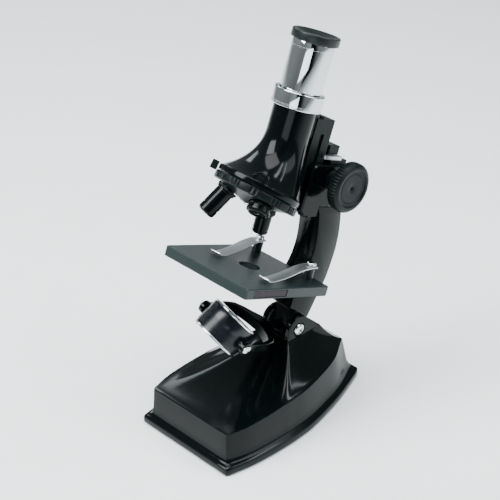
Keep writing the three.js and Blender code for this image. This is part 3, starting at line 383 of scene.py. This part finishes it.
def flare_curve(i):
    """How hollow the flare is at an outline point: deep in front, nearly straight behind the crease."""
    share = min(max((i / (EDGE_STEPS + FLANK_STEPS) - CREASE) / (1 - CREASE), 0), 1)
    share = share * share * (3 - 2 * share)
    return FRONT_CURVE + (SIDE_CURVE - FRONT_CURVE) * share


def base_shell():
    rings = [ring(outline(inset), lambda p, i, z=z: z) for inset, z in FOOT_LEVELS]
    rings.append(ring(outline(WALL_INSET, 1.5), lambda p, i: 13.2))
    low, high = outline(WALL_INSET + 0.6, WALL_LEAN), pedestal_section()
    for t in FLARE_SHARES:
        half = [a.lerp(b, t) for a, b in zip(low, high)]
        rings.append(ring(half, lambda p, i, t=t: wall_top(p)
                          + (PEDESTAL_TOP - wall_top(p)) * t ** flare_curve(i)))
    obj = mesh_object("base_shell_smooth", *loft(rings), ROW)
    modified(obj, "BEVEL", width=1.3 * MM, segments=4, limit_method="ANGLE", angle_limit=math.radians(48))
    top = arc((PIVOT_Y, PIVOT_Z), EAR_R, 157, 45, 24)
    profile = [(EAR_FRONT, EAR_LOW), (EAR_FRONT, 56), *top, (EAR_BACK, PEDESTAL_TOP), (EAR_BACK, EAR_LOW)]
    ears = mesh_object("ears", *loft([[(x, y, z) for y, z in profile] for x in (-EAR_HALF, EAR_HALF)]), ROW)
    modified(ears, "BEVEL", width=1.0 * MM, segments=3, limit_method="ANGLE", angle_limit=BEVEL_FROM)
    carved(obj, ears, operation="UNION")
    pivot = ROW @ Matrix.Translation((0, PIVOT_Y, PIVOT_Z))
    slot = rod("slot", SLOT_R, -SLOT_HALF, SLOT_HALF, pivot @ TO_X, 96)
    slot_back = block("slot_back", ((-SLOT_HALF, SLOT_HALF), (0, 30), (-4, 20)), pivot)
    carved(obj, slot, slot_back, rod("bore", BOLT_BORE, -20, 20, pivot @ TO_X),
           rod("seat", 5.4, 11.8, 16, pivot @ TO_X, 64))
    finish(obj, "base", FINISH["gloss_black"], ["base_shell"], angle=38)


# ---- Body tube and eyepiece ----------------------------------------------------------------------

TUBE_R, TUBE_BOTTOM, TUBE_TOP, BORE = 14.2, 134.0, 151.0, 11.6
FLANGE_R, FLANGE_LOW, FLANGE_TOP = 28.4, 3.1, 7.1
TURRET_Y, TURRET_Z, STUD_BORE = -68.2, 92.7, 3.1
NOSE_STEPS = 30


def tilted_ring(centre_y, centre_z, radius, lean, sides=120):
    """A circle about a leaning axis in the arm's frame."""
    angles = [2 * math.pi * i / sides for i in range(sides)]
    return [(radius * math.cos(a), centre_y + radius * math.sin(a) * math.cos(lean),
             centre_z - radius * math.sin(a) * math.sin(lean)) for a in angles]


def turret_ring(radius, height):
    return tilted_ring(TURRET_Y + height * math.sin(TURRET_LEAN), TURRET_Z + height * math.cos(TURRET_LEAN),
                       radius, TURRET_LEAN)


def nose_ring(t):
    """A ring of the flare: 0 at the tube, 1 at the flange over the turret."""
    spread = t ** 2.2
    seat_y = TURRET_Y + FLANGE_TOP * math.sin(TURRET_LEAN)
    seat_z = TURRET_Z + FLANGE_TOP * math.cos(TURRET_LEAN)
    return tilted_ring(AXIS_Y + (seat_y - AXIS_Y) * spread, TUBE_BOTTOM + (seat_z - TUBE_BOTTOM) * t,
                       TUBE_R + (FLANGE_R - 0.9 - TUBE_R) * spread, TURRET_LEAN * spread)


def body_tube():
    rings = [turret_ring(STUD_BORE, FLANGE_LOW), turret_ring(FLANGE_R - 0.6, FLANGE_LOW)]
    rings += [turret_ring(r, h) for r, h in arc((FLANGE_R - 0.6, FLANGE_LOW + 0.6), 0.6, -60, 0, 3)]
    rings += [turret_ring(r, h) for r, h in arc((FLANGE_R - 0.8, FLANGE_TOP - 0.9), 0.8, 0, 75, 4)]
    rings += [nose_ring(1 - i / NOSE_STEPS) for i in range(NOSE_STEPS + 1)]
    rings += [tilted_ring(AXIS_Y, z, TUBE_R, 0) for z in (140, 146, TUBE_TOP)]
    rings += [tilted_ring(AXIS_Y, z, BORE, 0) for z in (TUBE_TOP, 120)]
    rings.append(tilted_ring(AXIS_Y, 119.9, 5, 0))
    rings.append(turret_ring(STUD_BORE, FLANGE_TOP + 2))
    obj = mesh_object("body_tube_smooth", *loft(rings, loop=True), ARM)
    finish(obj, "tube", FINISH["gloss_black"], ["body_tube"], angle=40)


COLLAR_R, COLLAR_LOW, COLLAR_TOP = 16.6, 151.3, 162.0
EYE_R, EYE_LOW, EYE_TOP, SPIGOT_LOW = 14.0, 162.3, 194.0, 138.0
CAP_R, CAP_LOW, CAP_TOP, EYE_LENS_R = 15.8, 194.3, 199.8, 5.7
OPTIC = ARM @ Matrix.Translation((0, AXIS_Y, 0))


def collar_and_eyepiece():
    collar = [
        (TUBE_R + 0.4, COLLAR_LOW + 1.2), (BORE + 0.3, COLLAR_LOW + 1.2), (BORE + 0.3, COLLAR_TOP),
        *reversed(arc((COLLAR_R - 0.6, COLLAR_TOP - 0.6), 0.6, 0, 90, 5)),
        (COLLAR_R, COLLAR_LOW + 2.2), (COLLAR_R - 0.35, COLLAR_LOW + 2.0),
        (COLLAR_R - 0.35, COLLAR_LOW + 1.6), (COLLAR_R, COLLAR_LOW + 1.4),
        *arc((COLLAR_R - 0.5, COLLAR_LOW + 0.5), 0.5, 0, -90, 4),
        (TUBE_R + 0.4, COLLAR_LOW), (TUBE_R + 0.4, COLLAR_LOW + 1.2)]
    side = Matrix.Translation((0, 0, 157.5))
    turned("tube_collar_smooth", collar, OPTIC, "tube_collar", tools=[
        rod("screw_bore", 1.5, -20, -8, OPTIC @ side @ TO_X)])
    spigot = BORE - 0.06
    eyepiece = [
        (EYE_R - 2.6, EYE_TOP), (spigot - 1.6, SPIGOT_LOW), (spigot - 0.3, SPIGOT_LOW),
        (spigot, SPIGOT_LOW + 0.4), (spigot, EYE_LOW), *arc((EYE_R - 0.3, EYE_LOW + 0.3), 0.3, -90, 0, 3),
        (EYE_R, 189.4), (EYE_R - 0.3, 189.55), (EYE_R - 0.3, 189.95), (EYE_R, 190.1),
        *arc((EYE_R - 0.4, EYE_TOP - 0.4), 0.4, 0, 90, 3), (EYE_R - 2.6, EYE_TOP)]
    turned("eyepiece_tube_smooth", eyepiece, OPTIC, "eyepiece_tube")
    cap = [
        (6, CAP_LOW), *arc((CAP_R - 0.4, CAP_LOW + 0.4), 0.4, -90, 0, 3),
        *reversed(arc((CAP_R - 0.9, CAP_TOP - 0.9), 0.9, 90, 0, 6)),
        (CAP_R - 2.2, CAP_TOP), (CAP_R - 2.8, CAP_TOP - 0.25), (8.4, CAP_TOP - 1.9), (7.8, CAP_TOP - 2.2),
        (7.0, CAP_TOP - 2.3), (6.7, CAP_TOP - 2.6), (6, CAP_TOP - 2.6), (6, CAP_LOW)]
    turned("eyepiece_cap_smooth", cap, OPTIC, "eyepiece_cap", CAP_GREY)
    lens = [(0, CAP_LOW + 0.4), (EYE_LENS_R, CAP_LOW + 0.4), *dome(EYE_LENS_R, CAP_LOW + 1.4, 1.4, 12),
            (0, CAP_LOW + 2.8)]
    turned("eye_lens_smooth", lens, OPTIC, "eye_lens", angle=60)


# ---- Turret and objectives -----------------------------------------------------------------------

DISC_R, DISC_HALF, REACH, SEAT = 28.8, 2.8, 15.3, -5.45
# Steps are (radius, height) from the seat down; a band is how far a groove lies above the lower end.
OBJECTIVES = {
    "high": {"turn": 0, "steps": ((6.9, 3.4), (6.0, 1.2)), "barrel": 5.3, "length": 22.8, "band": 2.2},
    "mid": {"turn": 120, "steps": ((7.4, 1.6), (6.8, 1.4)), "barrel": 6.0, "length": 27.0, "band": 5.0},
    "low": {"turn": -120, "steps": ((7.9, 2.2), (7.2, 1.5), (7.8, 2.0)), "barrel": 6.6, "length": 12.8,
            "band": 0},
}
LENS_BORE = 3


def grip(count, groups=0):
    """A ridge pattern round a rim: even ridges, or groups of them with plain stretches between."""
    def depth(share):
        if groups and (share * groups) % 1 > 0.5:
            return 0.0
        return (0.5 - 0.5 * math.cos(2 * math.pi * count * share)) ** 1.5
    return depth


def objective_frame(turn):
    return (TURRET @ Matrix.Rotation(math.radians(turn), 4, "Z") @ Matrix.Translation((0, REACH, 0))
            @ Matrix.Rotation(TURRET_LEAN, 4, "X"))


def turret_parts():
    disc = [
        (3.06, -6.6), (5, -6.6), (5, -8.4), (6, -8.4), (6.7, -8.1), (7.2, -7.8), (15, -5.4), (23.5, -2.95),
        (25, -2.8), (DISC_R - 1.2, -DISC_HALF), (DISC_R - 0.7, -2.6), (DISC_R - 0.1, -2.1, 0.2),
        (DISC_R, -1.8, 0.55), (DISC_R, 0, 0.55), (DISC_R, 1.8, 0.55), (DISC_R - 0.1, 2.1, 0.2),
        (DISC_R - 0.7, 2.6), (DISC_R - 1.2, DISC_HALF), (3.06, DISC_HALF), (3.06, -6.6)]
    holes = [rod(f"hole_{name}", 5.5, -20, 20, objective_frame(facts["turn"]))
             for name, facts in OBJECTIVES.items()]
    turned("turret_disc_smooth", disc, TURRET, "turret_disc", sides=480, ridge=grip(60, 12), tools=holes)
    for name, facts in OBJECTIVES.items():
        barrel, length = facts["barrel"], facts["length"]
        profile = [(LENS_BORE, 1.2), (LENS_BORE, -length), (barrel - 1.4, -length),
                   (barrel - 0.7, -length + 0.3), (barrel, -length + 1.3)]
        ends = [SEAT]
        for _, height in facts["steps"]:
            ends.append(ends[-1] - height)
        if facts["band"]:
            low = -length + facts["band"]
            profile += [(barrel, low), (barrel - 0.3, low + 0.1), (barrel - 0.3, low + 0.9),
                        (barrel, low + 1)]
        profile.append((barrel, ends[-1]))
        for i in reversed(range(len(facts["steps"]))):
            r = facts["steps"][i][0]
            cut = (0.3,) if i == 0 else ()
            profile += [(r - 0.25, ends[i + 1]), (r, ends[i + 1] + 0.25, *cut), (r, ends[i] - 0.25, *cut),
                        (r - 0.25, ends[i])]
        profile += [(5.2, SEAT), (5.2, 1.2), (LENS_BORE, 1.2)]
        turned(f"objective_{name}_smooth", profile, objective_frame(facts["turn"]), f"objective_{name}",
               sides=288, ridge=grip(36))


# ---- Focus knobs ---------------------------------------------------------------------------------

KNOB_R, KNOB_IN, KNOB_OUT, HUB_R = 17.0, 23.5, 32.0, 7.0


def focus_knobs():
    profile = [
        (0, 13), (HUB_R - 0.4, 13), (HUB_R, 13.4), (HUB_R, KNOB_IN - 0.6), (HUB_R + 0.6, KNOB_IN),
        (KNOB_R - 2.0, KNOB_IN), (KNOB_R - 1.2, KNOB_IN + 0.25), (KNOB_R - 0.5, KNOB_IN + 0.9, 0.25),
        (KNOB_R, KNOB_IN + 1.7, 0.8), (KNOB_R, KNOB_IN + 4, 0.8), (KNOB_R, KNOB_OUT - 2.2, 0.8),
        (KNOB_R - 0.4, KNOB_OUT - 1.4, 0.4), (KNOB_R - 1.3, KNOB_OUT - 0.7),
        (KNOB_R - 2.3, KNOB_OUT - 0.15), (KNOB_R - 3, KNOB_OUT), (KNOB_R - 4, KNOB_OUT),
        (KNOB_R - 4.5, KNOB_OUT - 0.25), (KNOB_R - 5, KNOB_OUT - 0.9), (10.4, KNOB_OUT - 1.0),
        (10.1, KNOB_OUT - 1.25), (9.8, KNOB_OUT - 1.0), (3.6, KNOB_OUT - 0.9), (3.0, KNOB_OUT - 1.0),
        (1.6, KNOB_OUT - 1.4), (1.2, KNOB_OUT - 2.2), (0, KNOB_OUT - 2.2)]
    for side, turn in (("left", -90), ("right", 90)):
        matrix = PINION @ Matrix.Rotation(math.radians(turn), 4, "Y")
        turned(f"focus_knob_{side}_smooth", profile, matrix, f"focus_knob_{side}", sides=384,
               ridge=grip(48), tools=[rod("bore", 2.8, 0, KNOB_OUT - 4, matrix)])


# ---- Lamp and mirror drum ------------------------------------------------------------------------

DRUM_R, DRUM_HALF, DRUM_BORE, LAMP_LENS_R = 17.5, 9, 15.4, 14.6
RIB_HEIGHTS = (-6.6, -5.2, -3.8, -2.4, -1.0, 0.4)
BOSS_R, BOSS_IN, BOSS_OUT = 3, 12.6, 17


def drum_parts():
    ribs = []
    for z in RIB_HEIGHTS:
        ribs += [(DRUM_R - 0.4, z - 0.5), (DRUM_R - 0.1, z - 0.35), (DRUM_R, z), (DRUM_R - 0.1, z + 0.35),
                 (DRUM_R - 0.4, z + 0.5)]
    profile = [
        (0, -2), (DRUM_BORE, -2), (DRUM_BORE, -DRUM_HALF), (DRUM_R - 0.4, -DRUM_HALF), *ribs,
        (DRUM_R - 0.3, 1.4), (DRUM_R - 0.3, DRUM_HALF - 0.6), (DRUM_R - 0.6, DRUM_HALF),
        (DRUM_BORE, DRUM_HALF), (DRUM_BORE, 0), (0, 0)]
    bores = [rod("bore", 1.66, low, high, DRUM @ TO_X) for low, high in ((-30, -13.6), (13.6, 30))]
    slot = block("slot", ((-3.6, 3.6), (13, 20), (2.4, 5.6)), DRUM)
    obj = mesh_object("drum_housing_smooth", *lathe(profile, 128), DRUM)
    bosses = [rod("boss", BOSS_R, low, high, DRUM @ TO_X)
              for low, high in ((-BOSS_OUT, -BOSS_IN), (BOSS_IN, BOSS_OUT))]
    carved(obj, *bosses, operation="UNION")
    carved(obj, *bores, slot, rod("lead_hole", 2, -5, 5, DRUM))
    finish(obj, "drum", DRUM_BLACK, ["drum_housing"], angle=40)
    for node, sign in (("lamp_bezel", 1), ("mirror_bezel", -1)):
        ring_profile = [
            (14.2, sign * 9.3), (DRUM_R - 0.2, sign * 9.3),
            *arc((DRUM_R - 0.6, sign * 9.9), 0.6, 0, sign * 90, 6), (DRUM_BORE, sign * 10.4),
            (14.6, sign * 10.1), (14.2, sign * 9.7), (14.2, sign * 9.3)]
        turned(f"{node}_smooth", ring_profile, DRUM, node, sides=128)
    lens = [(0, 6.9), (15, 6.9), (15, 7.9), *dome(LAMP_LENS_R, 7.9, 1.1, 16), (0, 9)]
    turned("lamp_lens_smooth", lens, DRUM, "lamp_lens", GROUND_GLASS, sides=128, angle=60)
    outer = [(4.4 + 9.2 * t, 1.2 + 5 * t ** 1.7) for t in [i / 10 for i in range(1, 11)]]
    inner = [(3 + 9.8 * t, 2.2 + 4.2 * t ** 1.7) for t in [i / 10 for i in range(9, -1, -1)]]
    cup = [(3, 1.2), (4.4, 1.2), *outer, (12.8, 6.5), *inner, (3, 1.2)]
    turned("lamp_reflector_smooth", cup, DRUM, "lamp_reflector", angle=50)


# ---- Screws and clips ----------------------------------------------------------------------------

CLIP_X, CLIP_Y, CLIP_Z, CLIP_BORE = 24, -22, 42.5, 1.56
CLIP_HALF, CLIP_THICK, CLIP_STEPS = 4.3, 0.8, 60
CLIP_BACK, CLIP_TIP = 4.4, -47.6
# The strip's underside in its side view, as (distance along it, height).
CLIP_KNOTS = [Vector(p) for p in (
    (4, 8.5), (-5, 8.3), (-14, 6.7), (-26, 3.2), (-38, 0.9), (-44, 0.75), (-47, 2.4))]


def domed_screw(name, node, matrix, radius, height, shank, length):
    """A pan head with a cross recess, its head's underside at the origin and its dome towards +Z."""
    head = dome(radius, height * 0.35, height * 0.65, 12)
    profile = [(0, -length), (shank, -length), (shank, 0), (radius, 0), *head, (0, height)]
    arm, width = radius * 0.52, radius * 0.11
    deep = (height * 0.42, height * 2)
    tools = [block("slot", ((-arm, arm), (-width, width), deep), matrix),
             block("slot", ((-width, width), (-arm, arm), deep), matrix)]
    turned(name, profile, matrix, node, sides=64, tools=tools, angle=38)


def screws():
    pivot = ROW @ Matrix.Translation((0, PIVOT_Y, PIVOT_Z)) @ TO_X
    domed_screw("pivot_bolt_domed", "pivot_bolt", pivot @ Matrix.Translation((0, 0, 12.1))
                @ Matrix.Rotation(math.radians(38), 4, "Z"), 4.4, 2.5, 3.0, 25.7)
    for side, sign in (("left", -1), ("right", 1)):
        seat = (ARM @ Matrix.Translation((CLIP_X * sign, CLIP_Y, 52.3))
                @ Matrix.Rotation(math.radians(25), 4, "Z"))
        domed_screw(f"clip_screw_{side}_domed", f"clip_screw_{side}", seat, 3.1, 2.2, 1.5, 14.8)
        pin = FORK @ Matrix.Rotation(math.radians(90 * sign), 4, "Y") @ Matrix.Translation((0, 0, 23.5))
        domed_screw(f"fork_pin_{side}_domed", f"fork_pin_{side}", pin, 3.2, 1.8, 1.6, 9.3)


def clip_strip(side, sign, turn):
    """A sprung strip, swept along its side view, with a rounded front lip."""
    line = spline(CLIP_KNOTS, CLIP_STEPS)
    rings = []
    for i, p in enumerate(line):
        ahead, behind = line[min(i + 1, CLIP_STEPS)], line[max(i - 1, 0)]
        along = (ahead - behind).normalized()
        normal = Vector((along.y, -along.x))
        normal = normal if normal.y > 0 else -normal
        back_end, front_end = min(1, (CLIP_BACK - p.x) / 3.2), min(1, (p.x - CLIP_TIP) / 2.6)
        rounded = math.sqrt(max(0.06, 1 - (1 - max(0, back_end)) ** 2))
        w = CLIP_HALF * rounded * (0.8 + 0.2 * max(0, front_end) ** 0.5)
        q = p + normal * CLIP_THICK
        rings.append([(-w, p.x, p.y), (w, p.x, p.y), (w, q.x, q.y), (-w, q.x, q.y)])
    matrix = (ARM @ Matrix.Translation((CLIP_X * sign, CLIP_Y, CLIP_Z))
              @ Matrix.Rotation(math.radians(turn), 4, "Z"))
    obj = mesh_object(f"stage_clip_{side}_strip", *loft(rings), matrix)
    modified(obj, "BEVEL", width=0.18 * MM, segments=2, limit_method="ANGLE", angle_limit=BEVEL_FROM)
    carved(obj, rod("bore", CLIP_BORE, 0, 20, matrix))
    finish(obj, f"clip_{side}", FINISH["steel"], [f"stage_clip_{side}"], angle=40)


# ---- CAD nodes that stay -------------------------------------------------------------------------

# Bevel widths in millimetres.
BEVELS = {"arm_limb": 0.5, "focus_head": 0.5, "stage_plate": 0.35, "slide_block": 0.35,
          "head_cover": 0.5, "slide_keeper": 0.35, "stop_block": 0.5, "click_block": 0.5,
          "stage_bracket": 0.4, "lamp_fork": 0.4, "stage_side_panel": 0.12, "lamp_switch": 0.25}


def kept_nodes():
    for node, obj in frame["nodes"].items():
        obj.data.materials.clear()
        obj.data.materials.append(FINISH[SLOT_OF[node]])
        modifier = obj.modifiers.new("weld_and_smooth", "NODES")
        modifier.node_group = SMOOTH
        if node in BEVELS:
            edge = obj.modifiers.new("edge", "BEVEL")
            edge.width = BEVELS[node] * MM
            edge.segments = 3
            edge.limit_method = "ANGLE"
            edge.angle_limit = BEVEL_FROM
            edge.harden_normals = True


# ---- Stage, light and camera ---------------------------------------------------------------------

TARGET = Vector((-0.0009, -0.0113, 0.1284))
CAMERA_AZIMUTH, CAMERA_ELEVATION, CAMERA_DISTANCE, CAMERA_LENS = 46, 30.9, 1.034, 115
WORLD_STRENGTH = 0.5
WHITE, COOL = (1, 1, 1), (0.86, 0.97, 1)
# Name, azimuth and elevation in degrees, distance and size in metres, power in watts, colour.
LIGHTS = [
    ("key", -25, 50, 1.1, (0.55, 0.75), 23, (0.95, 0.99, 1)),
    ("side", 120, 28, 1.1, (0.5, 0.8), 5, (0.86, 0.98, 1)),
    ("front", 30, 12, 1.5, (0.9, 0.35), 3.5, (0.86, 0.99, 1)),
    ("top", 60, 85, 1.2, (0.8, 0.8), 20, WHITE),
    ("flank_high", 133, 55, 1.1, (0.7, 0.11), 4.2, COOL),
    ("flank_low", 133, 41, 1.1, (0.7, 0.05), 1.6, COOL),
    ("far_left", -108, 33, 1.2, (0.45, 0.30), 4, COOL),
]
# Grey levels round the horizon: 0 and 1 are the front, 0.25 the left, 0.5 the back, 0.75 the right.
PANELS = [(0.0, 0.5), (0.12, 0.75), (0.3, 0.9), (0.5, 0.6), (0.62, 0.9), (0.72, 0.85), (0.80, 0.55),
          (0.84, 0.02), (0.90, 0.02), (0.92, 0.95), (1.0, 0.5)]


def pale_floor():
    bpy.ops.mesh.primitive_plane_add(size=6, location=(0, 0, 0))
    floor = bpy.context.object
    floor.name = "floor"
    paper = material("floor_paper", (0.92, 0.93, 0.94), 0.7, vary=0.012, grain=300, bump=0.01)
    floor.data.materials.append(paper)


def bearing(azimuth, elevation):
    """A direction out from the object, its azimuth turning from the front to +X."""
    a, e = math.radians(azimuth), math.radians(elevation)
    return Vector((math.sin(a) * math.cos(e), -math.cos(a) * math.cos(e), math.sin(e)))


def aimed(obj, way, distance):
    """Puts a lamp or the camera out along a direction, looking back at the target."""
    obj.location = TARGET + way * distance
    obj.rotation_euler = (-way).to_track_quat("-Z", "Y").to_euler()
    bpy.context.scene.collection.objects.link(obj)


def softbox(name, azimuth, elevation, distance, size, power, color):
    """A rectangular lamp aimed at the middle of the object."""
    lamp = bpy.data.lights.new(name, "AREA")
    lamp.shape = "RECTANGLE"
    lamp.size, lamp.size_y = size
    lamp.energy = power
    lamp.color = color
    aimed(bpy.data.objects.new(name, lamp), bearing(azimuth, elevation), distance)


def camera():
    view = bpy.data.cameras.new("camera")
    view.lens = CAMERA_LENS
    view.sensor_width = 36
    view.clip_start = 0.05
    obj = bpy.data.objects.new("camera", view)
    aimed(obj, bearing(CAMERA_AZIMUTH, CAMERA_ELEVATION), CAMERA_DISTANCE)
    bpy.context.scene.camera = obj


def set_ramp(node, stops):
    """Gives a colour ramp its stops, as (position, grey level)."""
    elements = node.color_ramp.elements
    while len(elements) < len(stops):
        elements.new(0.5)
    for element, (position, level) in zip(elements, stops):
        element.position = position
        element.color = (level * 0.96, level, level * 1.01, 1)


def studio():
    """Soft grey surroundings with light and dark panels round the sides, as polished metal shows them."""
    world = bpy.data.worlds.new("studio")
    world.use_nodes = True
    tree = world.node_tree
    place = tree.nodes.new("ShaderNodeTexCoord")
    split = tree.nodes.new("ShaderNodeSeparateXYZ")
    around = tree.nodes.new("ShaderNodeMath")
    around.operation = "ARCTAN2"
    share = tree.nodes.new("ShaderNodeMapRange")
    share.inputs["From Min"].default_value = -math.pi
    share.inputs["From Max"].default_value = math.pi
    panels, height = tree.nodes.new("ShaderNodeValToRGB"), tree.nodes.new("ShaderNodeValToRGB")
    both = tree.nodes.new("ShaderNodeMix")
    both.data_type = "RGBA"
    both.blend_type = "MULTIPLY"
    both.inputs["Factor"].default_value = 1
    link = tree.links.new
    link(place.outputs["Generated"], split.inputs["Vector"])
    link(split.outputs["X"], around.inputs[0])
    link(split.outputs["Y"], around.inputs[1])
    link(around.outputs["Value"], share.inputs["Value"])
    link(share.outputs["Result"], panels.inputs["Fac"])
    link(split.outputs["Z"], height.inputs["Fac"])
    link(panels.outputs["Color"], both.inputs["A"])
    link(height.outputs["Color"], both.inputs["B"])
    link(both.outputs["Result"], tree.nodes["Background"].inputs["Color"])
    set_ramp(panels, PANELS)
    set_ramp(height, [(0.0, 0.7), (0.6, 1.0), (1.0, 1.0)])
    tree.nodes["Background"].inputs["Strength"].default_value = WORLD_STRENGTH
    bpy.context.scene.world = world
    for light in LIGHTS:
        softbox(*light)


base_shell()
body_tube()
collar_and_eyepiece()
turret_parts()
focus_knobs()
drum_parts()
screws()
clip_strip("left", -1, 6.5)
clip_strip("right", 1, 2.7)
kept_nodes()
pale_floor()
camera()
studio()
